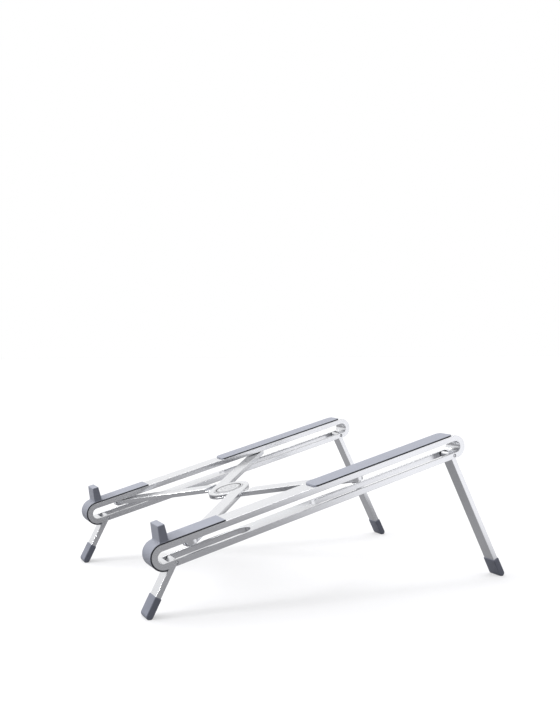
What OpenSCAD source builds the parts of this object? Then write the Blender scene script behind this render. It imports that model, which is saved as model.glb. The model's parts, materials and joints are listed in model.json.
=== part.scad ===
// Folding laptop stand: two looped rails on flip-out legs, joined by a stepped scissor.
// X runs across the stand, Y from front to back, Z up. The desk is Z = 0.
// Each rail has its own line: s is measured along it from its front end, n square to it.

/* [Rails] */
// Length of each rail loop
rail_len = 271.5; // [268:0.5:280]
// Height of each rail loop
rail_h = 18.2; // [18:0.1:19]
// Width of each rail
rail_w = 20; // [20:0.5:24]
// Thickness of the rail's band
band_t = 4.6; // [4.4:0.1:4.8]
// Distance between the centre lines of the two rails
rail_pitch = 192; // [184:1:194]
// Upward tilt of the rails, in degrees
tilt = 15.3; // [13:0.1:17]
// Height of the nose's centre above the desk
nose_z = 43.4; // [42:0.2:48]

/* [Legs] */
// Width of a leg
leg_w = 13; // [12:0.5:13]
// Thickness of a leg
leg_t = 4.2; // [4:0.1:4.4]
// Forward lean of the front legs from upright, in degrees
front_lean = 27; // [26:0.5:28]
// Backward lean of the rear legs from upright, in degrees
rear_lean = 26.3; // [25:0.1:28]
// Place of the front hinge pin along the rail
front_pin_s = 16.7; // [16.5:0.1:18]
// Place of the rear hinge pin along the rail
rear_pin_s = 259.8; // [256:0.1:260]
// Diameter of the hinge pins
pin_d = 2.6; // [2:0.1:2.6]
// Width of the slots that the legs fold into
slot_w = 15.2; // [15.2:0.1:15.6]
// Finger end of the front leg's slot along the rail
front_slot_s = 79; // [76:1:90]
// Finger end of the rear leg's slot along the rail
rear_slot_s = 131; // [120:1:134]

/* [Feet] */
// Width of a rubber foot
foot_w = 14.4; // [14:0.1:14.4]
// Thickness of a rubber foot
foot_t = 5.4; // [5.2:0.1:5.6]
// Length of a rubber foot
foot_len = 16.5; // [12:0.5:20]

/* [Pads] */
// Thickness of the silicone pads and covers
pad_t = 1.1; // [0.8:0.1:1.4]
// Upper end of the nose cover along the rail
cover_end_s = 59.6; // [50:0.1:70]
// Front end of the rear pad along the rail
pad_start_s = 134.4; // [120:0.1:150]
// Height of the stop block above its cover
stop_h = 12.3; // [8:0.1:20]
// Thickness of the stop block at its foot
stop_foot = 6.9; // [6:0.1:8]
// Thickness of the stop block at its top
stop_top = 5.3; // [4:0.1:6]
// Width of the stop block
stop_w = 18.4; // [14:0.2:20]

/* [Scissor] */
// Width of a scissor arm
arm_w = 11.5; // [10:0.1:12]
// Thickness of a scissor arm
arm_t = 3.8; // [3.6:0.1:3.9]
// Sideways step of each arm from the line between the bar's pivots
arm_step = 11.5; // [11:0.1:12.5]
// Place of the front sliders along the rail when the stand is open
front_slider_s = 33; // [30:0.5:35]
// Distance along the rail from front slider to rear slider when the stand is open
slider_span = 140.4; // [136:0.1:142]
// How far the front sliders travel as the stand folds
front_travel = 15.5; // [12:0.5:16]
// Radius of the cap on the scissor's hub
cap_r = 12.5; // [9:0.5:13]

/* [Hidden] */

aluminium = "#d9dadd";
silicone = "#8f94a3";
slate = "#5c606c";
steel = "#c4c6ca";
nylon = "#26272b";

right = 1;
left = -1;
round_fn = 96;
fit = 0.05;             // radial room round a pin or shank
gap = 0.3;              // room between parts that pass each other
cut = 1;                // how far a cutter runs past a face

nose_r = rail_h / 2;
inner_r = nose_r - band_t;
rear_nose = rail_len - rail_h;          // from nose centre to rear centre
pin_n = -(nose_r - band_t / 2);         // pins lie in the middle of the lower band

// Places along the rail counted from the nose's centre
front_pin_a = front_pin_s - nose_r;
rear_pin_a = rear_pin_s - nose_r;
cover_end_a = cover_end_s - nose_r;
pad_start_a = pad_start_s - nose_r;
front_slider_a = front_slider_s - nose_r;
rear_slider_a = front_slider_a + slider_span;
hub_a = front_slider_a + slider_span / 2;

// Legs: each pin's height, then the leg's length down to the desk
function pin_y(a) = a * cos(tilt) - pin_n * sin(tilt);
function pin_z(a) = nose_z + a * sin(tilt) + pin_n * cos(tilt);
front_leg_len = pin_z(front_pin_a) / cos(front_lean);
rear_leg_len = pin_z(rear_pin_a) / cos(rear_lean);
sole_cut = 0.35;                        // the round foot is flattened this much
toe_r = foot_t / 2;
sock = 1.6;                             // rubber beyond the end of the metal leg
pin_len = rail_w - 0.4;
bush_t = (slot_w - leg_w) / 2 - 0.2;
bush_d = leg_t - 0.1;

// The desk contact of each foot, then the shift that centres the stand on Y = 0
toe_drop = toe_r - sole_cut;
front_toe_y = pin_y(front_pin_a) - (pin_z(front_pin_a) - toe_drop) * tan(front_lean) - toe_r;
rear_heel_y = pin_y(rear_pin_a) + (pin_z(rear_pin_a) - toe_drop) * tan(rear_lean) + toe_r;
nose_y = -(front_toe_y + rear_heel_y) / 2;

// Slots for the legs: a square hinge end that stops the open leg, a round finger end
front_swing = front_lean + tilt;        // open leg's angle from square to the rail
rear_swing = rear_lean - tilt;
function stop_reach(swing) = band_t / 2 * tan(swing) + leg_t / 2 / cos(swing);
front_slot_a = front_pin_a - stop_reach(front_swing) - gap;
rear_slot_a = rear_pin_a + stop_reach(rear_swing) + gap;
slot_corner_r = 1;

// Sliders run in stepped slots along the upper band
head_r = 5.2;
head_t = 1.8;
neck_r = 3;
channel_r = head_r + 0.2;
channel_depth = 2.2;
neck_slot_r = neck_r + 0.15;
shank_r = 2;
screw_head_r = 4;
screw_head_t = 1.3;
slider_washer_t = 0.35;
pivot_half = norm([rail_pitch / 2, slider_span / 2]);   // hub to each end pivot
arm_reach = sqrt(pow(pivot_half, 2) - pow(arm_step, 2));
fold_along = sqrt(pow(2 * pivot_half, 2) - pow(2 * arm_step, 2));
front_fold_a = front_slider_a - front_travel;
rear_fold_a = front_fold_a + fold_along;
bar_turn = atan2(slider_span / 2, rail_pitch / 2) + asin(arm_step / pivot_half);

// Scissor levels, square to the rails
arm_hi = inner_r - 0.5;
arm_lo = arm_hi - arm_t;
hub_gap = 0.3;
arm_mid = (arm_hi + arm_lo) / 2;
hub_r = arm_step + arm_w / 2;
lap_r = hub_r / sin(bar_turn) + 0.7;    // arms are half thick inside this radius
arm_tail = 4.4;                         // square inner end of each arm past the hub line
rivet_r = 4;
rivet_flange_r = 6;
rivet_flange_t = 1.3;
cap_t = 1;
cap_proud = 0.2;
cap_groove_r = cap_r - 2;
cap_groove_w = 0.6;
cap_groove_depth = 0.25;

// ---- frames -----------------------------------------------------------------

// Puts children, drawn with Y along the rail and Z square to it, on the rails' plane
module on_rails(x = 0) {
    translate([x, nose_y, nose_z]) rotate([tilt, 0, 0]) children();
}

// Extrudes an outline of (along, normal) points across the rail
module across(width) {
    rotate([90, 0, 90]) linear_extrude(height = width, center = true) children();
}

module on_side(side) {
    on_rails(side * rail_pitch / 2) children();
}

// ---- rails ------------------------------------------------------------------

module stadium(r) {
    circle(r = r, $fn = round_fn);
    translate([rear_nose, 0]) circle(r = r, $fn = round_fn);
    translate([0, -r]) square([rear_nose, 2 * r]);
}

// A slot from a to b: round at b, square with small corners at a
module leg_slot(a, b) {
    way = sign(b - a);
    round_centre = b - way * slot_w / 2;
    translate([0, 0, -nose_r - cut]) linear_extrude(height = band_t + 2 * cut) {
        translate([0, round_centre]) circle(d = slot_w, $fn = round_fn);
        translate([-slot_w / 2, min(a + way * slot_corner_r, round_centre)])
            square([slot_w, abs(round_centre - a) - slot_corner_r]);
        translate([-slot_w / 2 + slot_corner_r, min(a, a + way * 2 * slot_corner_r)])
            square([slot_w - 2 * slot_corner_r, 2 * slot_corner_r]);
        for (x = [-1, 1])
            translate([x * (slot_w / 2 - slot_corner_r), a + way * slot_corner_r])
                circle(r = slot_corner_r, $fn = 32);
    }
}

module long_slot(a, b, r, z, height) {
    translate([0, 0, z]) linear_extrude(height = height) {
        translate([0, a]) circle(r = r, $fn = round_fn);
        translate([0, b]) circle(r = r, $fn = round_fn);
        translate([-r, a]) square([2 * r, b - a]);
    }
}

module slider_slot(a, b) {
    long_slot(a, b, neck_slot_r, inner_r - cut, band_t + 2 * cut);
    long_slot(a, b, channel_r, nose_r - channel_depth, channel_depth + cut);
}

module rail(side) {
    color(aluminium) on_side(side) difference() {
        across(rail_w) difference() {
            stadium(nose_r);
            stadium(inner_r);
        }
        leg_slot(front_slot_a, front_slot_s - nose_r);
        leg_slot(rear_slot_a, rear_slot_s - nose_r);
        slider_slot(front_fold_a - gap, front_slider_a + gap);
        slider_slot(rear_slider_a - gap, rear_fold_a + gap);
        for (a = [front_pin_a, rear_pin_a])
            translate([0, a, pin_n]) rotate([0, 90, 0])
                cylinder(d = pin_d, h = rail_w + 2 * cut, center = true, $fn = round_fn);
    }
}

// ---- silicone ---------------------------------------------------------------

// Wraps the nose from below round to the top, and carries the stop block
module nose_cover(side) {
    stop_a = front_pin_a - 7.8;
    color(silicone) on_side(side) {
        across(rail_w) {
            difference() {
                circle(r = nose_r + pad_t, $fn = round_fn);
                circle(r = nose_r, $fn = round_fn);
                translate([0, -2 * nose_r]) square([2 * nose_r, 4 * nose_r]);
            }
            translate([0, nose_r]) square([cover_end_a, pad_t]);
        }
        across(stop_w) polygon([
            [stop_a, nose_r + pad_t / 2],
            [stop_a + stop_foot, nose_r + pad_t / 2],
            [stop_a + stop_foot - 0.3, nose_r + pad_t + stop_h],
            [stop_a + stop_foot - 0.3 - stop_top, nose_r + pad_t + stop_h]
        ]);
    }
}

module rear_pad(side) {
    corner_r = 4;
    x = rail_w / 2 - corner_r;
    pad_len = rear_nose - pad_start_a;
    color(silicone) on_side(side) translate([0, 0, nose_r]) linear_extrude(height = pad_t) {
        for (sx = [-x, x], a = [pad_start_a + corner_r, rear_nose - corner_r])
            translate([sx, a]) circle(r = corner_r, $fn = round_fn);
        translate([-rail_w / 2, pad_start_a + corner_r]) square([rail_w, pad_len - 2 * corner_r]);
        translate([-x, pad_start_a]) square([2 * x, pad_len]);
    }
}

// ---- legs -------------------------------------------------------------------

// Puts children, drawn hanging down from the pin at the origin, on an open leg
module on_leg(side, pin_a, lean) {
    translate([side * rail_pitch / 2, nose_y + pin_y(pin_a), pin_z(pin_a)])
        rotate([lean, 0, 0]) children();
}

// Outline of a leg or foot in (along Y, Z): a bar of this thickness between two heights
module strip(thickness, top, bottom) {
    translate([-thickness / 2, bottom]) square([thickness, top - bottom]);
}

module leg(side, pin_a, lean, length) {
    color(aluminium) on_leg(side, pin_a, lean) across(leg_w) difference() {
        union() {
            circle(d = leg_t, $fn = round_fn);
            strip(leg_t, 0, -(length - toe_r - sock));
        }
        circle(d = pin_d + 2 * fit, $fn = round_fn);
    }
}

// A rubber boot on the leg's end, its round sole flattened where it meets the desk
module foot(side, pin_a, lean, length) {
    tip = length - toe_drop / cos(lean);
    color(slate) difference() {
        on_leg(side, pin_a, lean) difference() {
            across(foot_w) {
                translate([0, -tip]) circle(r = toe_r, $fn = round_fn);
                strip(foot_t, -(length - foot_len), -tip);
            }
            across(leg_w) strip(leg_t, 0, -(length - toe_r - sock));
        }
        translate([side * rail_pitch / 2, 0, -foot_t])
            cube([2 * rail_w, 2 * rail_len, 2 * foot_t], center = true);
    }
}

module pin(side, pin_a) {
    color(steel) on_side(side) translate([0, pin_a, pin_n]) rotate([0, 90, 0])
        cylinder(d = pin_d, h = pin_len, center = true, $fn = round_fn);
}

// Two nylon bushes take up the room between a leg and the sides of its slot
module bushes(side, pin_a) {
    middle = (slot_w + leg_w) / 4;
    color(nylon) on_side(side) for (x = [-middle, middle])
        translate([x, pin_a, pin_n]) rotate([0, 90, 0]) difference() {
            cylinder(d = bush_d, h = bush_t, center = true, $fn = round_fn);
            cylinder(d = pin_d + 2 * fit, h = bush_t + cut, center = true, $fn = round_fn);
        }
}

// ---- scissor ----------------------------------------------------------------

// Both bars share one outline: a hub disc and two arms stepped to opposite sides of it.
// Drawn with the arms along X; hand = 1 turns it into the top bar, -1 into the bottom bar.
module bar_outline() {
    circle(r = hub_r, $fn = round_fn);
    for (turn = [0, 180]) rotate(turn) {
        translate([arm_reach, arm_step]) circle(d = arm_w, $fn = round_fn);
        translate([-arm_tail, arm_step - arm_w / 2]) square([arm_reach + arm_tail, arm_w]);
    }
}

module on_hub() {
    on_rails() translate([0, hub_a, 0]) children();
}

// The bars are halved into each other inside lap_r: the top bar keeps the upper half
module bar(hand) {
    lap_lo = hand > 0 ? arm_lo - cut : arm_mid - hub_gap / 2;
    lap_hi = hand > 0 ? arm_mid + hub_gap / 2 : arm_hi + cut;
    color(aluminium) on_hub() mirror([0, hand > 0 ? 0 : 1, 0]) rotate(-bar_turn) difference() {
        translate([0, 0, arm_lo]) linear_extrude(height = arm_t) bar_outline();
        translate([0, 0, lap_lo]) cylinder(r = lap_r, h = lap_hi - lap_lo, $fn = round_fn);
        translate([0, 0, arm_lo - cut]) cylinder(r = rivet_r + fit, h = arm_t + 2 * cut, $fn = round_fn);
        if (hand > 0)
            translate([0, 0, arm_hi + cap_proud - cap_t])
                cylinder(r = cap_r + 2 * fit, h = cap_t, $fn = round_fn);
        for (turn = [0, 180]) rotate(turn)
            translate([arm_reach, arm_step, arm_lo - cut])
                cylinder(r = shank_r + fit, h = arm_t + 2 * cut, $fn = round_fn);
    }
}

module hub_rivet() {
    color(steel) on_hub() {
        translate([0, 0, arm_lo - 2 * fit])
            cylinder(r = rivet_r, h = arm_t + cap_proud - cap_t + 2 * fit, $fn = round_fn);
        translate([0, 0, arm_lo - 2 * fit - rivet_flange_t])
            cylinder(r = rivet_flange_r, h = rivet_flange_t, $fn = round_fn);
    }
}

module hub_washer() {
    color(nylon) on_hub() translate([0, 0, arm_mid]) difference() {
        cylinder(r = cap_r, h = hub_gap - 0.1, center = true, $fn = round_fn);
        cylinder(r = rivet_r + fit, h = 2 * hub_gap, center = true, $fn = round_fn);
    }
}

module hub_cap() {
    color(aluminium) on_hub() difference() {
        translate([0, 0, arm_hi + cap_proud - cap_t]) cylinder(r = cap_r, h = cap_t, $fn = round_fn);
        translate([0, 0, arm_hi + cap_proud - cap_groove_depth]) difference() {
            cylinder(r = cap_groove_r, h = cut, $fn = round_fn);
            cylinder(r = cap_groove_r - cap_groove_w, h = cut, $fn = round_fn);
        }
    }
}

// A headed button in the upper band's stepped slot, threaded for the screw from below
module slider(side, a) {
    color(nylon) on_side(side) translate([0, a, 0]) difference() {
        union() {
            translate([0, 0, nose_r - channel_depth + fit])
                cylinder(r = head_r, h = head_t, $fn = round_fn);
            translate([0, 0, inner_r]) cylinder(r = neck_r, h = band_t - head_t, $fn = round_fn);
        }
        translate([0, 0, inner_r - cut]) cylinder(r = shank_r, h = band_t - head_t + cut, $fn = round_fn);
    }
}

module screw(side, a) {
    color(steel) on_side(side) translate([0, a, 0]) {
        translate([0, 0, arm_lo - fit])
            cylinder(r = shank_r, h = nose_r - head_t - arm_lo + fit, $fn = round_fn);
        translate([0, 0, arm_lo - fit - screw_head_t])
            cylinder(r = screw_head_r, h = screw_head_t, $fn = round_fn);
    }
}

module slider_washer(side, a) {
    color(nylon) on_side(side) translate([0, a, arm_hi + fit]) difference() {
        cylinder(r = head_r, h = slider_washer_t, $fn = round_fn);
        translate([0, 0, -cut]) cylinder(r = shank_r + fit, h = slider_washer_t + 2 * cut, $fn = round_fn);
    }
}

// ---- the stand --------------------------------------------------------------

rail(right);  // right_rail
rail(left);  // left_rail
nose_cover(right);  // right_nose_cover
nose_cover(left);  // left_nose_cover
rear_pad(right);  // right_rear_pad
rear_pad(left);  // left_rear_pad
pin(right, front_pin_a);  // right_front_pin
pin(left, front_pin_a);  // left_front_pin
pin(right, rear_pin_a);  // right_rear_pin
pin(left, rear_pin_a);  // left_rear_pin
bushes(right, front_pin_a);  // right_front_bushes
bushes(left, front_pin_a);  // left_front_bushes
bushes(right, rear_pin_a);  // right_rear_bushes
bushes(left, rear_pin_a);  // left_rear_bushes
leg(right, front_pin_a, -front_lean, front_leg_len);  // right_front_leg
leg(left, front_pin_a, -front_lean, front_leg_len);  // left_front_leg
leg(right, rear_pin_a, rear_lean, rear_leg_len);  // right_rear_leg
leg(left, rear_pin_a, rear_lean, rear_leg_len);  // left_rear_leg
foot(right, front_pin_a, -front_lean, front_leg_len);  // right_front_foot
foot(left, front_pin_a, -front_lean, front_leg_len);  // left_front_foot
foot(right, rear_pin_a, rear_lean, rear_leg_len);  // right_rear_foot
foot(left, rear_pin_a, rear_lean, rear_leg_len);  // left_rear_foot
bar(1);  // top_bar
bar(-1);  // bottom_bar
hub_rivet();
hub_washer();
hub_cap();
slider(right, front_slider_a);  // right_front_slider
slider(left, front_slider_a);  // left_front_slider
slider(right, rear_slider_a);  // right_rear_slider
slider(left, rear_slider_a);  // left_rear_slider
screw(right, front_slider_a);  // right_front_screw
screw(left, front_slider_a);  // left_front_screw
screw(right, rear_slider_a);  // right_rear_screw
screw(left, rear_slider_a);  // left_rear_screw
slider_washer(right, front_slider_a);  // right_front_washer
slider_washer(left, front_slider_a);  // left_front_washer
slider_washer(right, rear_slider_a);  // right_rear_washer
slider_washer(left, rear_slider_a);  // left_rear_washer
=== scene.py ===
"""A folding laptop stand in Blender: eased aluminium, moulded silicone and fine hardware on its CAD frame.

Everything is in metres in the frame's own axes: X across the stand, Y to the back, Z up.
"""
import json
import math

import bmesh
import bpy
from bpy.props import FloatProperty, FloatVectorProperty, IntProperty, PointerProperty
from mathutils import Matrix, Vector

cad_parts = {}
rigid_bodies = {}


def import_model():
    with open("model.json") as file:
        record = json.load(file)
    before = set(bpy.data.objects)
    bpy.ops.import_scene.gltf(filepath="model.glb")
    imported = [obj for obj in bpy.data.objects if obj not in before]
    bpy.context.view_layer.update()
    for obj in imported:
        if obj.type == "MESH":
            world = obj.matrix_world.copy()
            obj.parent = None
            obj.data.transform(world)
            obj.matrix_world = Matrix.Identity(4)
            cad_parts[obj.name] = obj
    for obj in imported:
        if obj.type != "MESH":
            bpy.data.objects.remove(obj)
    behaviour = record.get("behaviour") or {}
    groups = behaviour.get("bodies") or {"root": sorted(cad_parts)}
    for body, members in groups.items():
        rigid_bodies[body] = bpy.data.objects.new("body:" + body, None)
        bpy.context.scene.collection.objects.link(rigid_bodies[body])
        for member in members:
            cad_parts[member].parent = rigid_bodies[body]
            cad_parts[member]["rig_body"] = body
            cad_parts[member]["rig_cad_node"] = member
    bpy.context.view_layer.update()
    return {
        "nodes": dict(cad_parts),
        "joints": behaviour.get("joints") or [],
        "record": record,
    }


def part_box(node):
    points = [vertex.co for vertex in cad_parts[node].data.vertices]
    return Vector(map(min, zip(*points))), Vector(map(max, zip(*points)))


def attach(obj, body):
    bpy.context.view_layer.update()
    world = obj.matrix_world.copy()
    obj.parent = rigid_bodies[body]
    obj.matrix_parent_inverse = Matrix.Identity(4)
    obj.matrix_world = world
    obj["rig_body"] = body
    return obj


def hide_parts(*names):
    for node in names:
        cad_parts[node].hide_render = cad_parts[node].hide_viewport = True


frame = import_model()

bl_info = {
    "name": "Folding Laptop Stand",
    "version": (1, 0, 0),
    "blender": (4, 5, 0),
    "location": "View3D > Sidebar > Stand",
    "description": "Builds a folding laptop stand of looped aluminium rails, legs and a scissor",
    "category": "Add Mesh",
}

MM = 0.001
SIDES = ("right", "left")
ENDS = ("front", "rear")
JOINTS = {joint["name"]: joint for joint in frame["joints"]}
PAD_REST = next(m for m in frame["record"]["mounts"] if m["name"] == "right_pad_rest")

# The rails' own frame: "up" is square to them, "along" runs to the rear, the nose's centre is zero
UP = Vector(PAD_REST["axis"]).normalized()
TILT = math.atan2(-UP.y, UP.z)
ALONG = Vector((0.0, math.cos(TILT), math.sin(TILT)))
FRONT_PIN = Vector(JOINTS["right_front_hinge"]["pos_m"])
REAR_PIN = Vector(JOINTS["right_rear_hinge"]["pos_m"])
RAIL_X = FRONT_PIN.x
# Half the rail's height, and the band that the hinge pins lie in the middle of
NOSE_R = 9.1 * MM
BAND_T = 4.6 * MM
PIN_ALONG = 7.6 * MM
PIN_UP = BAND_T / 2 - NOSE_R
NOSE = FRONT_PIN - PIN_ALONG * ALONG - PIN_UP * UP
HUB = Vector(JOINTS["scissor_cross"]["pos_m"])
# The legs' lean from upright: the front ones forward, the rear ones backward
FRONT_LEAN = math.radians(-27)
REAR_LEAN = math.radians(26.3)
# Vertices nearer than this are one
MERGE = 0.002 * MM
# Room for rounding when edges are picked by their place
NEAR = 0.01 * MM
# Faces that meet at less than this are one flat face
FLAT = math.radians(0.6)
# Faces that meet at less than this are shaded as one smooth face
SMOOTH = math.radians(32)


def linear(hex_colour):
    """The linear red, green and blue of an sRGB hex colour."""
    channels = [int(hex_colour[i:i + 2], 16) / 255 for i in (1, 3, 5)]
    return [c / 12.92 if c <= 0.04045 else ((c + 0.055) / 1.055) ** 2.4 for c in channels]


def colour_property(name, description, hex_colour):
    return FloatVectorProperty(
        name=name, description=description, subtype="COLOR", min=0, max=1, default=linear(hex_colour))


def length_property(name, description, millimetres):
    return FloatProperty(
        name=name, description=description, subtype="DISTANCE", unit="LENGTH",
        min=0, default=millimetres * MM)


class StandSizes(bpy.types.PropertyGroup):
    """Sizes that a user would change."""

    metal_ease: length_property("Metal easing", "Chamfer on the aluminium's edges", 0.3)
    pad_ease: length_property("Silicone easing", "Rounding on the silicone's outer edges", 0.3)
    pad_t: length_property("Silicone thickness", "Thickness of the pads and covers", 1.1)
    stop_ease: length_property("Stop easing", "Rounding on the stop block's edges", 0.7)
    foot_ease: length_property("Foot easing", "Rounding on the rubber feet's edges", 0.8)
    small_ease: length_property("Hardware easing", "Chamfer on pins, buttons and washers", 0.15)
    pin_dome: length_property("Pin doming", "Rounding on the hinge pins' ends", 1.1)
    ring_steps: IntProperty(
        name="Round steps", description="Sides of each round piece of hardware",
        min=16, max=128, default=64)


class StandColours(bpy.types.PropertyGroup):
    """Colours that a user would change."""

    aluminium: colour_property("Aluminium", "Clear anodised band", "#E0E1E4")
    silicone: colour_property("Silicone", "Nose covers and rear pads", "#6E717C")
    feet: colour_property("Feet", "Rubber boots on the legs", "#616470")
    steel: colour_property("Steel", "Pins, screws and rivet", "#DADBDE")
    nylon: colour_property("Nylon", "Buttons, bushes and washers", "#232428")
    floor: colour_property("Floor", "The plain studio floor", "#909092")


# ---- making and shaping --------------------------------------------------------


def pick(*objects):
    """Selects these objects alone, the first one active."""
    bpy.ops.object.select_all(action="DESELECT")
    for item in objects:
        item.select_set(True)
    bpy.context.view_layer.objects.active = objects[0]
    return objects[0]


def edit(piece, kind, chosen):
    """Enters edit mode with only the elements of a kind that chosen(element) accepts selected."""
    pick(piece)
    bpy.ops.object.mode_set(mode="EDIT")
    bpy.ops.mesh.select_mode(type=kind)
    bpy.ops.mesh.select_all(action="DESELECT")
    shape = bmesh.from_edit_mesh(piece.data)
    for element in {"VERT": shape.verts, "EDGE": shape.edges, "FACE": shape.faces}[kind]:
        element.select_set(bool(chosen(element)))
    shape.select_flush_mode()
    bmesh.update_edit_mesh(piece.data)


def done():
    bpy.ops.object.mode_set(mode="OBJECT")


def middle(edge):
    return (edge.verts[0].co + edge.verts[1].co) / 2


def modify(piece, kind, **settings):
    """Adds a modifier with its settings and applies it."""
    pick(piece)
    modifier = piece.modifiers.new(kind.title(), kind)
    for key, value in settings.items():
        setattr(modifier, key, value)
    bpy.ops.object.modifier_apply(modifier=modifier.name)
    return piece


def settle(piece, place=Matrix.Identity(4)):
    """Puts a finished piece at its place and leaves its object at the origin, unturned and unscaled."""
    bpy.context.view_layer.update()
    piece.matrix_world = place @ piece.matrix_world
    pick(piece)
    bpy.ops.object.transform_apply(location=True, rotation=True, scale=True)
    return piece


def outward(piece):
    """Merges doubles and turns every face outwards."""
    edit(piece, "VERT", lambda v: True)
    bpy.ops.mesh.remove_doubles(threshold=MERGE)
    bpy.ops.mesh.normals_make_consistent(inside=False)
    done()
    return piece


def dress(piece, name, body, slot_name, finish, *nodes):
    """Names a finished piece, gives it its material, and lets it ride for its CAD nodes."""
    piece.name = name
    piece.data.name = name
    piece.data.materials.clear()
    piece.data.materials.append(finish)
    pick(piece)
    bpy.ops.object.shade_smooth_by_angle(angle=SMOOTH)
    modify(piece, "WEIGHTED_NORMAL", mode="FACE_AREA", keep_sharp=True)
    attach(piece, body)
    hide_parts(*nodes)
    return piece


def twin(piece):
    """A mirror image of a piece across X = 0, with a mesh of its own."""
    pick(piece)
    bpy.ops.object.duplicate(linked=False)
    return outward(settle(bpy.context.view_layer.objects.active, Matrix.Scale(-1, 4, (1, 0, 0))))


def copied(node):
    """A merged copy of a CAD node, free of its body, made before a piece has replaced the node."""
    source = frame["nodes"][node]
    if not source.visible_get():
        raise RuntimeError(f"{node} is already replaced, so it can't be copied")
    pick(source)
    bpy.ops.object.duplicate(linked=False)
    piece = bpy.context.view_layer.objects.active
    piece.parent = None
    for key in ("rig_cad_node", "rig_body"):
        if key in piece:
            del piece[key]
    edit(piece, "VERT", lambda v: True)
    bpy.ops.mesh.remove_doubles(threshold=MERGE)
    bpy.ops.mesh.dissolve_limited(angle_limit=FLAT)
    done()
    return piece


def eased(node, width, segments=2, angle=30):
    """A copy of a CAD node whose sharp edges are eased."""
    piece = copied(node)
    modify(piece, "BEVEL", width=width, segments=segments, limit_method="ANGLE",
           angle_limit=math.radians(angle), use_clamp_overlap=False, harden_normals=False)
    return outward(piece)


def shade_strip_sides(piece):
    """Paints shade on the strip's sides, between its rounded corner and the rail: they get a nearly black
    copy of the silicone.
    """
    piece.data.materials.append(material("silicone painted shade"))
    inverse = on_rail(0).inverted()
    limit = NOSE_R + bpy.context.scene.stand_sizes.pad_t
    for face in piece.data.polygons:
        spot = inverse @ face.center
        radius = math.hypot(min(spot.y, 0), spot.z)
        faces_sideways = abs(face.normal.x) > 0.6
        if faces_sideways and radius < limit:
            face.material_index = 1


def on_rail(side):
    """The rails' frame on this side: X across, Y along, Z square to the rail."""
    place = Matrix.Translation((side * RAIL_X, NOSE.y, NOSE.z))
    return place @ Matrix.Rotation(TILT, 4, "X")


def carve(piece, cutter):
    """Cuts one piece with another and removes the cutter."""
    modify(piece, "BOOLEAN", operation="DIFFERENCE", solver="EXACT", object=cutter)
    bpy.data.objects.remove(cutter)
    return piece


def fuse(piece, other):
    """Joins two closed pieces into one closed piece."""
    modify(piece, "BOOLEAN", operation="UNION", solver="EXACT", object=other)
    bpy.data.objects.remove(other)
    return piece


# ---- materials -------------------------------------------------------------------


def add_node(tree, kind, settings=None, **links):
    """Adds a node, sets its properties and sockets, and links what comes from other nodes' sockets."""
    new = tree.nodes.new(kind)
    for key, value in (settings or {}).items():
        if key in new.inputs:
            new.inputs[key].default_value = value
        else:
            setattr(new, key, value)
    for key, source in links.items():
        tree.links.new(source, new.inputs[key.replace("_", " ")])
    return new


def new_material(name, **shader):
    """A material with one Principled shader, its constants straight on its sockets."""
    material = bpy.data.materials.new(name)
    material.use_nodes = True
    tree = material.node_tree
    surface = tree.nodes["Principled BSDF"]
    for key, value in shader.items():
        surface.inputs[key.replace("_", " ")].default_value = value
    return material, tree, surface


def rgba(colour):
    return (*colour, 1.0)


def between(tree, factor, low, high):
    """A colour that goes from low to high as the factor goes from 0 to 1."""
    tone = add_node(tree, "ShaderNodeMix", {"data_type": "RGBA"})
    tone.inputs[6].default_value = low
    tone.inputs[7].default_value = high
    tree.links.new(factor, tone.inputs[0])
    return tone.outputs[2]


def step(tree, value, edge, ends=(0.0, 1.0)):
    """A soft step from the first end to the second as the value crosses the edge's two places."""
    return add_node(tree, "ShaderNodeMapRange", {
        "interpolation_type": "SMOOTHSTEP", "From Min": edge[0], "From Max": edge[1],
        "To Min": ends[0], "To Max": ends[1]}, Value=value).outputs["Result"]


def roughen(tree, surface, value, low, high):
    """Lets a texture's value move the roughness between two levels."""
    gloss = add_node(tree, "ShaderNodeMapRange", {"To Min": low, "To Max": high}, Value=value)
    tree.links.new(gloss.outputs["Result"], surface.inputs["Roughness"])


def emboss(tree, surface, height, strength, depth):
    """Lets a texture's value stand up from the surface by a depth."""
    bump = add_node(tree, "ShaderNodeBump", {"Strength": strength, "Distance": depth}, Height=height)
    tree.links.new(bump.outputs["Normal"], surface.inputs["Normal"])


def shade(colour, factor):
    return rgba([min(1.0, c * factor) for c in colour])


def anodised_aluminium(colours):
    """Aluminium band, bead-blasted and clear anodised: a satin white metal with a fine even tooth."""
    material, tree, surface = new_material("Bead-blasted anodised aluminium", Metallic=1.0, Roughness=0.34)
    place = add_node(tree, "ShaderNodeTexCoord").outputs["Object"]
    # Blasting grit leaves pits near 0.1 mm; they are drawn at 0.35 mm so that they show at all
    pits = add_node(tree, "ShaderNodeTexNoise", {"Scale": 1 / (0.35 * MM), "Detail": 2.0, "Roughness": 0.6},
                    Vector=place)
    # The dye tank leaves faint clouds about 30 mm across
    clouds = add_node(tree, "ShaderNodeTexNoise", {"Scale": 1 / (30 * MM), "Detail": 2.0}, Vector=place)
    tone = between(tree, clouds.outputs["Fac"], shade(colours.aluminium, 0.96),
                   shade(colours.aluminium, 1.04))
    tree.links.new(tone, surface.inputs["Base Color"])
    roughen(tree, surface, pits.outputs["Fac"], 0.16, 0.24)
    emboss(tree, surface, pits.outputs["Fac"], 0.16, 0.03 * MM)
    return material


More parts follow.
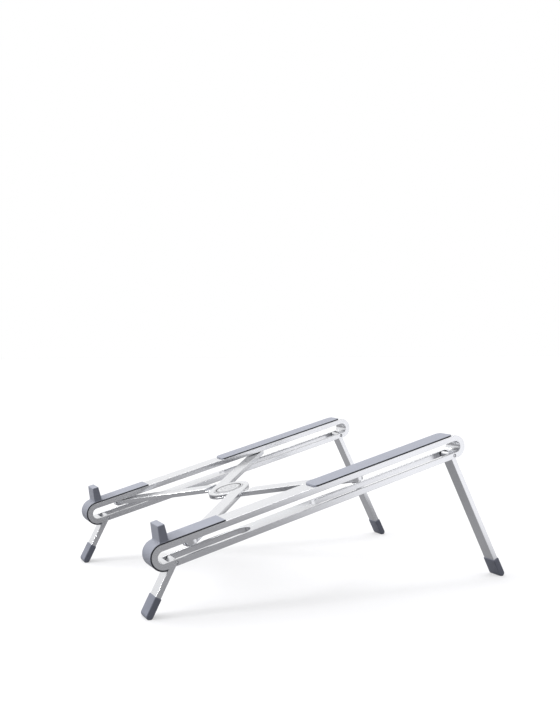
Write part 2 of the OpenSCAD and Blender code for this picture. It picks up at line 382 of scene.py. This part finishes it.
def moulded(name, colour, roughness, grain_mm, depth_mm, sheen):
    """Shared look of the moulded rubbers: a matt skin with the mould's fine spark texture."""
    material, tree, surface = new_material(
        name, Roughness=roughness, IOR=1.42, Sheen_Weight=sheen, Sheen_Roughness=0.5)
    place = add_node(tree, "ShaderNodeTexCoord").outputs["Object"]
    grain = add_node(tree, "ShaderNodeTexNoise", {"Scale": 1 / (grain_mm * MM), "Detail": 3.0},
                     Vector=place)
    clouds = add_node(tree, "ShaderNodeTexNoise", {"Scale": 1 / (12 * MM), "Detail": 3.0}, Vector=place)
    tone = between(tree, clouds.outputs["Fac"], shade(colour, 0.93), shade(colour, 1.07))
    tree.links.new(tone, surface.inputs["Base Color"])
    roughen(tree, surface, grain.outputs["Fac"], roughness - 0.06, roughness + 0.06)
    emboss(tree, surface, grain.outputs["Fac"], 0.25, depth_mm * MM)
    return material


def turned_steel(colours):
    """Stainless steel turned on a lathe: bright, with fine rings that break its highlights."""
    material, tree, surface = new_material("Turned stainless steel", Metallic=1.0, Roughness=0.24)
    place = add_node(tree, "ShaderNodeTexCoord").outputs["Object"]
    # A lathe's feed leaves rings near 0.1 mm apart; they are drawn at 0.3 mm
    rings = add_node(tree, "ShaderNodeTexNoise", {"Scale": 1 / (0.3 * MM), "Detail": 2.0}, Vector=place)
    tone = between(tree, rings.outputs["Fac"], shade(colours.steel, 0.9), shade(colours.steel, 1.05))
    tree.links.new(tone, surface.inputs["Base Color"])
    roughen(tree, surface, rings.outputs["Fac"], 0.18, 0.32)
    emboss(tree, surface, rings.outputs["Fac"], 0.15, 0.02 * MM)
    return material


def facing_aluminium(colours):
    """Aluminium faced on a lathe and clear anodised: fine rings round the hub, a shade below the bars."""
    material, tree, surface = new_material("Lathe-faced aluminium", Metallic=1.0, Roughness=0.22)
    place = add_node(tree, "ShaderNodeTexCoord").outputs["Object"]
    centred = add_node(tree, "ShaderNodeMapping", {"vector_type": "TEXTURE", "Location": HUB,
                                                   "Rotation": (TILT, 0, 0)}, Vector=place)
    # The facing tool's rings are near 0.1 mm apart; they are drawn at 0.5 mm
    rings = add_node(tree, "ShaderNodeTexWave", {
        "wave_type": "RINGS", "rings_direction": "Z", "Scale": 1 / (0.5 * MM) / 20, "Distortion": 0.3},
        Vector=centred.outputs["Vector"])
    tone = between(tree, rings.outputs["Fac"], shade(colours.aluminium, 0.72),
                   shade(colours.aluminium, 0.9))
    tree.links.new(tone, surface.inputs["Base Color"])
    roughen(tree, surface, rings.outputs["Fac"], 0.16, 0.3)
    return material


MATERIALS = {}


def material(name):
    """The named material, made the first time it is asked for."""
    colours = bpy.context.scene.stand_colours
    makers = {
        "aluminium": lambda: anodised_aluminium(colours),
        "facing": lambda: facing_aluminium(colours),
        "steel": lambda: turned_steel(colours),
        # Silicone cast in a spark-eroded mould: soft, dusty and matt
        "silicone": lambda: moulded("Moulded silicone", colours.silicone, 0.6, 0.3, 0.03, 0.15),
        # The same silicone on the strip's sides, where it is cut to width, painted nearly black as shade
        "silicone painted shade": lambda: moulded("Silicone with painted shade", shade(colours.silicone, 0.25)[:3], 0.7,
                                         0.3, 0.03, 0.0),
        # Thermoplastic rubber, injection moulded: darker and a little tighter in its skin
        "feet": lambda: moulded("Moulded rubber", colours.feet, 0.55, 0.4, 0.04, 0.1),
        # Black acetal-like nylon, machined and waxy
        "nylon": lambda: moulded("Machined nylon", colours.nylon, 0.42, 0.25, 0.01, 0.0),
    }
    if name not in MATERIALS:
        MATERIALS[name] = makers[name]()
    return MATERIALS[name]


# ---- operators ---------------------------------------------------------------------


class STAND_OT_rails(bpy.types.Operator):
    """Two closed loops of aluminium band with their leg and slider slots"""

    bl_idname = "stand.rails"
    bl_label = "Rails"
    bl_options = {"REGISTER", "UNDO"}

    def execute(self, context):
        sizes = context.scene.stand_sizes
        for side in SIDES:
            node = side + "_rail"
            piece = eased(node, sizes.metal_ease)
            dress(piece, node + "_loop", node, "aluminium", material("aluminium"), node)
        return {"FINISHED"}


class STAND_OT_nose_covers(bpy.types.Operator):
    """Silicone covers wrapped round the noses, each with its stop block"""

    bl_idname = "stand.nose_covers"
    bl_label = "Nose Covers"
    bl_options = {"REGISTER", "UNDO"}

    length: length_property("Length", "Straight run of the cover behind the nose's centre", 50.5)
    stop_front: length_property(
        "Stop place", "How far the stop's foot starts ahead of the nose's centre", 0.2)
    stop_foot: length_property("Stop foot", "Thickness of the stop block at its foot", 6.9)
    stop_top: length_property("Stop top", "Thickness of the stop block at its top", 5.3)
    stop_w: length_property("Stop width", "Width of the stop block", 18.4)
    stop_h: length_property("Stop height", "Height of the stop block above the cover", 12.3)
    taper_centre: length_property(
        "Taper centre", "How far ahead of the stop's back its taper is centred", 0.3)
    flare: length_property("Flare", "How far the stop's foot spreads on the cover", 0.8)
    # The flare ends this far inside the cover, so that no face lies in the cover's own
    sunk = 0.1 * MM
    # The root goes on down through this share of the cover's thickness
    root = 0.6

    def wrap(self, width, sizes):
        """The strip under, round and over the nose, spun from its own cross section."""
        bpy.ops.object.select_all(action="DESELECT")
        bpy.ops.mesh.primitive_plane_add(
            size=1, location=(0, 0, -NOSE_R - sizes.pad_t / 2), rotation=(math.pi / 2, 0, 0))
        strip = bpy.context.object
        strip.scale = (width, sizes.pad_t, 1)
        settle(strip)
        edit(strip, "FACE", lambda f: True)
        bpy.ops.mesh.spin(steps=sizes.ring_steps // 2, angle=math.pi, center=(0, 0, 0), axis=(1, 0, 0))
        bpy.ops.mesh.extrude_region_move(TRANSFORM_OT_translate={"value": (0, self.length, 0)})
        bpy.ops.mesh.select_all(action="SELECT")
        bpy.ops.mesh.remove_doubles(threshold=MERGE)
        bpy.ops.mesh.select_mode(type="EDGE")
        bpy.ops.mesh.select_all(action="DESELECT")
        bpy.ops.mesh.select_non_manifold()
        bpy.ops.mesh.fill_holes(sides=4)
        done()
        outward(strip)
        modify(strip, "BEVEL", width=sizes.pad_ease, segments=3, limit_method="ANGLE",
               angle_limit=math.radians(40))
        return outward(strip)

    def stop(self, sizes):
        """The block: tapered upwards, rounded, and flared where it meets the cover."""
        base = NOSE_R + sizes.pad_t + self.flare
        top = NOSE_R + sizes.pad_t + self.stop_h
        back = self.stop_foot - self.stop_front
        bpy.ops.object.select_all(action="DESELECT")
        bpy.ops.mesh.primitive_cube_add(size=1, location=(0, back - self.stop_foot / 2, (base + top) / 2))
        block = bpy.context.object
        block.scale = (self.stop_w, self.stop_foot, top - base)
        settle(block)
        edit(block, "FACE", lambda f: f.normal.z > 0.9)
        taper = self.stop_top / self.stop_foot
        bpy.ops.transform.resize(value=(1, taper, 1), center_override=(0, back - self.taper_centre, 0))
        done()
        edit(block, "FACE", lambda f: f.normal.z < -0.9)
        bpy.ops.mesh.extrude_region_move(TRANSFORM_OT_translate={"value": (0, 0, -self.flare - self.sunk)})
        spread = 1 + 2 * self.flare / self.stop_foot
        bpy.ops.transform.resize(value=(1 + self.flare / self.stop_w, spread, 1))
        bpy.ops.mesh.extrude_region_move(
            TRANSFORM_OT_translate={"value": (0, 0, -sizes.pad_t * self.root)})
        done()
        modify(block, "BEVEL", width=sizes.stop_ease, segments=4, limit_method="ANGLE",
               angle_limit=math.radians(50))
        return outward(block)

    def execute(self, context):
        sizes = context.scene.stand_sizes
        low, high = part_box("right_rail")
        cover = fuse(self.wrap(high.x - low.x, sizes), self.stop(sizes))
        outward(cover)
        settle(cover, on_rail(1))
        other = twin(cover)
        for piece, side in ((cover, "right"), (other, "left")):
            node = side + "_nose_cover"
            dress(piece, node + "_skin", side + "_rail", "silicone", material("silicone"), node)
            # The cover's sideways faces get painted shade
            shade_strip_sides(piece)
        return {"FINISHED"}


class STAND_OT_rear_pads(bpy.types.Operator):
    """Silicone pads along the upper rear of the rails"""

    bl_idname = "stand.rear_pads"
    bl_label = "Rear Pads"
    bl_options = {"REGISTER", "UNDO"}

    def execute(self, context):
        sizes = context.scene.stand_sizes
        for side in SIDES:
            node = side + "_rear_pad"
            piece = eased(node, sizes.pad_ease, segments=3)
            dress(piece, node + "_skin", side + "_rail", "silicone", material("silicone"), node)
            # The pad's sideways faces get painted shade
            shade_strip_sides(piece)
        return {"FINISHED"}


class STAND_OT_legs(bpy.types.Operator):
    """Four flat aluminium legs with round knuckles"""

    bl_idname = "stand.legs"
    bl_label = "Legs"
    bl_options = {"REGISTER", "UNDO"}

    def execute(self, context):
        sizes = context.scene.stand_sizes
        for side in SIDES:
            for end in ENDS:
                node = f"{side}_{end}_leg"
                piece = eased(node, sizes.metal_ease)
                dress(piece, node + "_bar", node, "aluminium", material("aluminium"), node)
        return {"FINISHED"}


class STAND_OT_feet(bpy.types.Operator):
    """Rubber boots pushed over the legs' lower ends"""

    bl_idname = "stand.feet"
    bl_label = "Feet"
    bl_options = {"REGISTER", "UNDO"}

    width: length_property("Width", "Width of a boot", 14.4)
    thickness: length_property("Thickness", "Thickness of a boot", 5.4)
    length: length_property("Length", "Length of a boot along its leg", 16.5)
    sole: length_property("Sole", "How far the round toe is flattened on the desk", 0.35)

    def boot(self, pin, lean, leg, sizes):
        """One boot, modelled hanging from its pin, leant, cut flat on the desk and hollowed for its leg."""
        toe = self.thickness / 2
        reach = pin.z / math.cos(lean) + toe - (toe - self.sole) / math.cos(lean)
        bpy.ops.object.select_all(action="DESELECT")
        bpy.ops.mesh.primitive_cube_add(size=1, location=(0, 0, -reach + self.length / 2))
        boot = bpy.context.object
        boot.scale = (self.width, self.thickness, self.length)
        settle(boot)
        edit(boot, "EDGE", lambda e: middle(e).z < -reach + NEAR and abs(middle(e).x) < NEAR)
        bpy.ops.mesh.bevel(offset=toe, segments=8, affect="EDGES")
        done()
        outward(boot)
        modify(boot, "BEVEL", width=sizes.foot_ease, segments=3, limit_method="ANGLE",
               angle_limit=math.radians(40))
        settle(boot, Matrix.Translation(pin) @ Matrix.Rotation(lean, 4, "X"))
        edit(boot, "VERT", lambda v: True)
        bpy.ops.mesh.bisect(plane_co=(0, 0, 0), plane_no=(0, 0, 1), use_fill=True, clear_inner=True,
                            threshold=0.001 * MM)
        done()
        return outward(carve(outward(boot), copied(leg)))

    def execute(self, context):
        sizes = context.scene.stand_sizes
        for end, pin, lean in (("front", FRONT_PIN, FRONT_LEAN), ("rear", REAR_PIN, REAR_LEAN)):
            boot = self.boot(pin, lean, f"right_{end}_leg", sizes)
            for piece, side in ((boot, "right"), (twin(boot), "left")):
                node = f"{side}_{end}_foot"
                dress(piece, node + "_boot", f"{side}_{end}_leg", "foot_rubber", material("feet"), node)
        return {"FINISHED"}


class STAND_OT_scissor(bpy.types.Operator):
    """The scissor's two stepped bars, halved into each other at the hub"""

    bl_idname = "stand.scissor"
    bl_label = "Scissor Bars"
    bl_options = {"REGISTER", "UNDO"}

    def execute(self, context):
        sizes = context.scene.stand_sizes
        for node in ("top_bar", "bottom_bar"):
            piece = eased(node, sizes.metal_ease)
            dress(piece, node + "_arms", node, "aluminium", material("aluminium"), node)
        return {"FINISHED"}


class STAND_OT_hub(bpy.types.Operator):
    """The hub's cap, rivet and slip washer"""

    bl_idname = "stand.hub"
    bl_label = "Hub"
    bl_options = {"REGISTER", "UNDO"}

    radius: length_property("Radius", "Radius of the cap", 12.5)
    thickness: length_property("Thickness", "Thickness of the cap", 1.0)
    proud: length_property("Height", "How far the cap's top lies above the hub's joint", 2.1)
    rim: length_property("Rim", "Width of the cap's polished rim", 1.5)
    dish: length_property("Dish", "Depth of the ring let into the cap", 0.45)
    # The groove painted black as shade: its inner and outer radius, and the height above the joint that it
    # starts from
    groove = (10.1 * MM, 11.1 * MM)
    groove_floor = 1.2 * MM

    def cap(self, sizes):
        """The cap: a disc with a standing rim and a dished middle, lying in its counterbore."""
        bpy.ops.object.select_all(action="DESELECT")
        bpy.ops.mesh.primitive_cylinder_add(
            vertices=2 * sizes.ring_steps, radius=self.radius, depth=self.thickness,
            location=(0, 0, self.proud - self.thickness / 2))
        disc = settle(bpy.context.object)
        edit(disc, "FACE", lambda f: f.normal.z > 0.9)
        wall, floor = 0.15 * MM, 0.5 * MM
        bpy.ops.mesh.inset(thickness=self.rim)
        bpy.ops.mesh.inset(thickness=wall, depth=-self.dish)
        bpy.ops.mesh.inset(thickness=floor)
        bpy.ops.mesh.inset(thickness=wall, depth=self.dish * 0.8)
        # The middle rises in a low dome of two steps
        for run, rise in ((4, 0.15), (3, 0.06)):
            bpy.ops.mesh.inset(thickness=run * MM, depth=rise * MM)
        done()
        modify(disc, "BEVEL", width=sizes.small_ease, segments=2, limit_method="ANGLE",
               angle_limit=math.radians(25))
        return outward(disc)

    def execute(self, context):
        sizes = context.scene.stand_sizes
        cap = settle(self.cap(sizes), Matrix.Translation(HUB) @ Matrix.Rotation(TILT, 4, "X"))
        dress(cap, "hub_cap_turned", "top_bar", "cap", material("facing"), "hub_cap")
        # Black nylon on the groove's faces is painted shade, not an inlay
        cap.data.materials.append(material("nylon"))
        for face in cap.data.polygons:
            out = (face.center - HUB).cross(UP).length
            rise = (face.center - HUB).dot(UP)
            if self.groove[0] < out < self.groove[1] and rise > self.groove_floor:
                face.material_index = 1
        rivet = eased("hub_rivet", sizes.small_ease)
        dress(rivet, "hub_rivet_turned", "top_bar", "steel", material("steel"), "hub_rivet")
        washer = eased("hub_washer", sizes.small_ease / 3)
        dress(washer, "hub_washer_cut", "top_bar", "nylon", material("nylon"), "hub_washer")
        return {"FINISHED"}


class STAND_OT_hinges(bpy.types.Operator):
    """Hinge pins and the bushes either side of each leg"""

    bl_idname = "stand.hinges"
    bl_label = "Hinge Pins"
    bl_options = {"REGISTER", "UNDO"}

    def execute(self, context):
        sizes = context.scene.stand_sizes
        for side in SIDES:
            for end in ENDS:
                pin = f"{side}_{end}_pin"
                piece = eased(pin, sizes.pin_dome, segments=6)
                dress(piece, pin + "_turned", side + "_rail", "steel", material("steel"), pin)
                bushes = f"{side}_{end}_bushes"
                piece = eased(bushes, sizes.small_ease)
                dress(piece, bushes + "_pair", side + "_rail", "nylon", material("nylon"), bushes)
        return {"FINISHED"}


class STAND_OT_sliders(bpy.types.Operator):
    """Slider buttons, their washers and the screws that hold the bars to them"""

    bl_idname = "stand.sliders"
    bl_label = "Sliders"
    bl_options = {"REGISTER", "UNDO"}

    key: length_property("Hex key", "Size across the screws' hex sockets", 2.5)
    socket_depth: length_property("Socket depth", "Depth of the screws' hex sockets", 0.75)

    def socket(self, piece, node):
        """Cuts the hex socket into the head, which faces down."""
        head = min((v.co.copy() for v in piece.data.vertices), key=lambda co: co.dot(UP)).dot(UP)
        low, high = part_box(node)
        axis_point = (low + high) / 2
        place = axis_point + (head - axis_point.dot(UP)) * UP
        bpy.ops.object.select_all(action="DESELECT")
        bpy.ops.mesh.primitive_cylinder_add(
            vertices=6, radius=self.key / math.sqrt(3), depth=2 * self.socket_depth,
            location=place, rotation=(TILT, 0, 0))
        carve(piece, settle(bpy.context.object))

    def execute(self, context):
        sizes = context.scene.stand_sizes
        bodies = {"right_front": "right_front_slider", "left_front": "left_front_slider",
                  "right_rear": "bottom_bar", "left_rear": "top_bar"}
        for corner, body in bodies.items():
            for kind, slot_name, finish, ease in (
                    ("slider", "nylon", "nylon", 1), ("screw", "steel", "steel", 1.5),
                    ("washer", "nylon", "nylon", 0.5)):
                node = f"{corner}_{kind}"
                piece = eased(node, sizes.small_ease * ease)
                if kind == "screw":
                    self.socket(piece, node)
                dress(piece, node + "_part", body, slot_name, material(finish), node)
        return {"FINISHED"}


class STAND_OT_stage(bpy.types.Operator):
    """The plain floor, the soft studio light and the camera"""

    bl_idname = "stand.stage"
    bl_label = "Stage"
    bl_options = {"REGISTER", "UNDO"}

    # The table and the white card on it, as the metal reflects them, and where the card's edges fade in
    table_grey = (0.19, 0.19, 0.195, 1)
    card_white = (0.56, 0.56, 0.57, 1)
    card_rear = (0.03, 0.34)
    card_right = (0.11, 0.17)
    floor_glow = 0.46
    # The way to the dim side of the room, how near to it the room turns dim, and how dim it gets
    dim_way = Vector((0.97, -0.15, 0.0)).normalized()
    dim_edge = (0.70, 0.91)
    dim_level = 0.36
    # Each light's name, the place it shines from, its spread in degrees and its power
    lights = (("Overhead light", (-0.35, -0.25, 1.0), 70, 3.2),
              ("Low front light", (-0.1, -1.0, 0.5), 10, 1.5))

    def execute(self, context):
        scene = context.scene
        bpy.ops.object.select_all(action="DESELECT")
        bpy.ops.mesh.primitive_plane_add(size=30, location=(0, 0, -0.02 * MM))
        floor = context.object
        floor.name = "studio_floor"
        surface, tree, shader = new_material("Matt studio floor", Roughness=0.9)
        place = add_node(tree, "ShaderNodeTexCoord").outputs["Object"]
        paper = add_node(tree, "ShaderNodeTexNoise", {"Scale": 2.0, "Detail": 2.0}, Vector=place)
        paint = scene.stand_colours.floor
        tone = between(tree, paper.outputs["Fac"], shade(paint, 0.99), shade(paint, 1.01))
        tree.links.new(tone, shader.inputs["Base Color"])
        shader.inputs["Emission Color"].default_value = (1, 1, 1, 1)
        shader.inputs["Emission Strength"].default_value = self.floor_glow
        # Seen directly the floor is near white; what it sends up into the metal is a table grey,
        # with a white card lying at the right rear
        seen = add_node(tree, "ShaderNodeLightPath").outputs["Is Camera Ray"]
        spot = add_node(tree, "ShaderNodeSeparateXYZ", Vector=place)
        card = add_node(tree, "ShaderNodeMath", {"operation": "MULTIPLY"})
        tree.links.new(step(tree, spot.outputs["Y"], self.card_rear), card.inputs[0])
        tree.links.new(step(tree, spot.outputs["X"], self.card_right), card.inputs[1])
        table = between(tree, card.outputs["Value"], self.table_grey, self.card_white)
        grey = add_node(tree, "ShaderNodeBsdfDiffuse")
        tree.links.new(table, grey.inputs["Color"])
        both = add_node(tree, "ShaderNodeMixShader", Fac=seen)
        tree.links.new(grey.outputs["BSDF"], both.inputs[1])
        tree.links.new(shader.outputs["BSDF"], both.inputs[2])
        tree.links.new(both.outputs["Shader"], tree.nodes["Material Output"].inputs["Surface"])
        floor.data.materials.append(surface)
        self.light_studio(scene)
        self.aim_camera(scene)
        return {"FINISHED"}

    def light_studio(self, scene):
        """A white room that is dimmer on one side, a broad light above and a small one low in front."""
        world = bpy.data.worlds.new("White studio")
        scene.world = world
        world.use_nodes = True
        tree = world.node_tree
        tree.nodes.clear()
        way = add_node(tree, "ShaderNodeTexCoord").outputs["Generated"]
        # The dim side of the room puts the grey into the metal's sides
        toward = add_node(tree, "ShaderNodeVectorMath", {"operation": "DOT_PRODUCT"})
        tree.links.new(way, toward.inputs[0])
        toward.inputs[1].default_value = self.dim_way
        level = step(tree, toward.outputs["Value"], self.dim_edge, (1.0, self.dim_level))
        room = add_node(tree, "ShaderNodeBackground", {"Color": (1, 1, 1, 1)}, Strength=level)
        backdrop = add_node(tree, "ShaderNodeBackground", {"Color": (1, 1, 1, 1), "Strength": 1.0})
        seen = add_node(tree, "ShaderNodeLightPath").outputs["Is Camera Ray"]
        mixed = add_node(tree, "ShaderNodeMixShader", Fac=seen)
        tree.links.new(room.outputs["Background"], mixed.inputs[1])
        tree.links.new(backdrop.outputs["Background"], mixed.inputs[2])
        add_node(tree, "ShaderNodeOutputWorld", Surface=mixed.outputs["Shader"])
        for name, place, spread, power in self.lights:
            bpy.ops.object.select_all(action="DESELECT")
            bpy.ops.object.light_add(type="SUN", location=place)
            lamp = bpy.context.object
            lamp.name = name
            lamp.data.name = name
            lamp.data.angle = math.radians(spread)
            lamp.data.energy = power
            lamp.rotation_euler = (-Vector(place)).to_track_quat("-Z", "Y").to_euler()
        scene.view_settings.view_transform = "Standard"
        scene.view_settings.look = "None"

    def aim_camera(self, scene):
        """The camera at the front right, low and level with the stand."""
        bpy.ops.object.select_all(action="DESELECT")
        bpy.ops.object.camera_add(location=(0.7284, -0.3389, 0.1891),
                                  rotation=(math.radians(89.09), 0, math.radians(65.34)))
        camera = bpy.context.object
        camera.name = "Product camera"
        camera.data.name = "Product camera"
        camera.data.lens = 46.16
        camera.data.sensor_width = 36
        scene.camera = camera


OPERATORS = (
    # The feet come before the legs, because each boot is hollowed with its leg's CAD node
    STAND_OT_rails, STAND_OT_nose_covers, STAND_OT_rear_pads, STAND_OT_feet, STAND_OT_legs,
    STAND_OT_scissor, STAND_OT_hub, STAND_OT_hinges, STAND_OT_sliders, STAND_OT_stage)


class STAND_PT_build(bpy.types.Panel):
    """Lists the stand's pieces"""

    bl_label = "Laptop Stand"
    bl_idname = "STAND_PT_build"
    bl_space_type = "VIEW_3D"
    bl_region_type = "UI"
    bl_category = "Stand"

    def draw(self, context):
        for group in (context.scene.stand_sizes, context.scene.stand_colours):
            for key in group.bl_rna.properties.keys():
                if key not in ("rna_type", "name"):
                    self.layout.prop(group, key)
        for operator in OPERATORS:
            self.layout.operator(operator.bl_idname)


CLASSES = (StandSizes, StandColours, *OPERATORS, STAND_PT_build)


def register():
    for item in CLASSES:
        bpy.utils.register_class(item)
    bpy.types.Scene.stand_sizes = PointerProperty(type=StandSizes)
    bpy.types.Scene.stand_colours = PointerProperty(type=StandColours)


def unregister():
    del bpy.types.Scene.stand_colours
    del bpy.types.Scene.stand_sizes
    for item in reversed(CLASSES):
        bpy.utils.unregister_class(item)


def main():
    register()
    for operator in OPERATORS:
        group, name = operator.bl_idname.split(".")
        getattr(getattr(bpy.ops, group), name)()


if __name__ == "__main__":
    main()
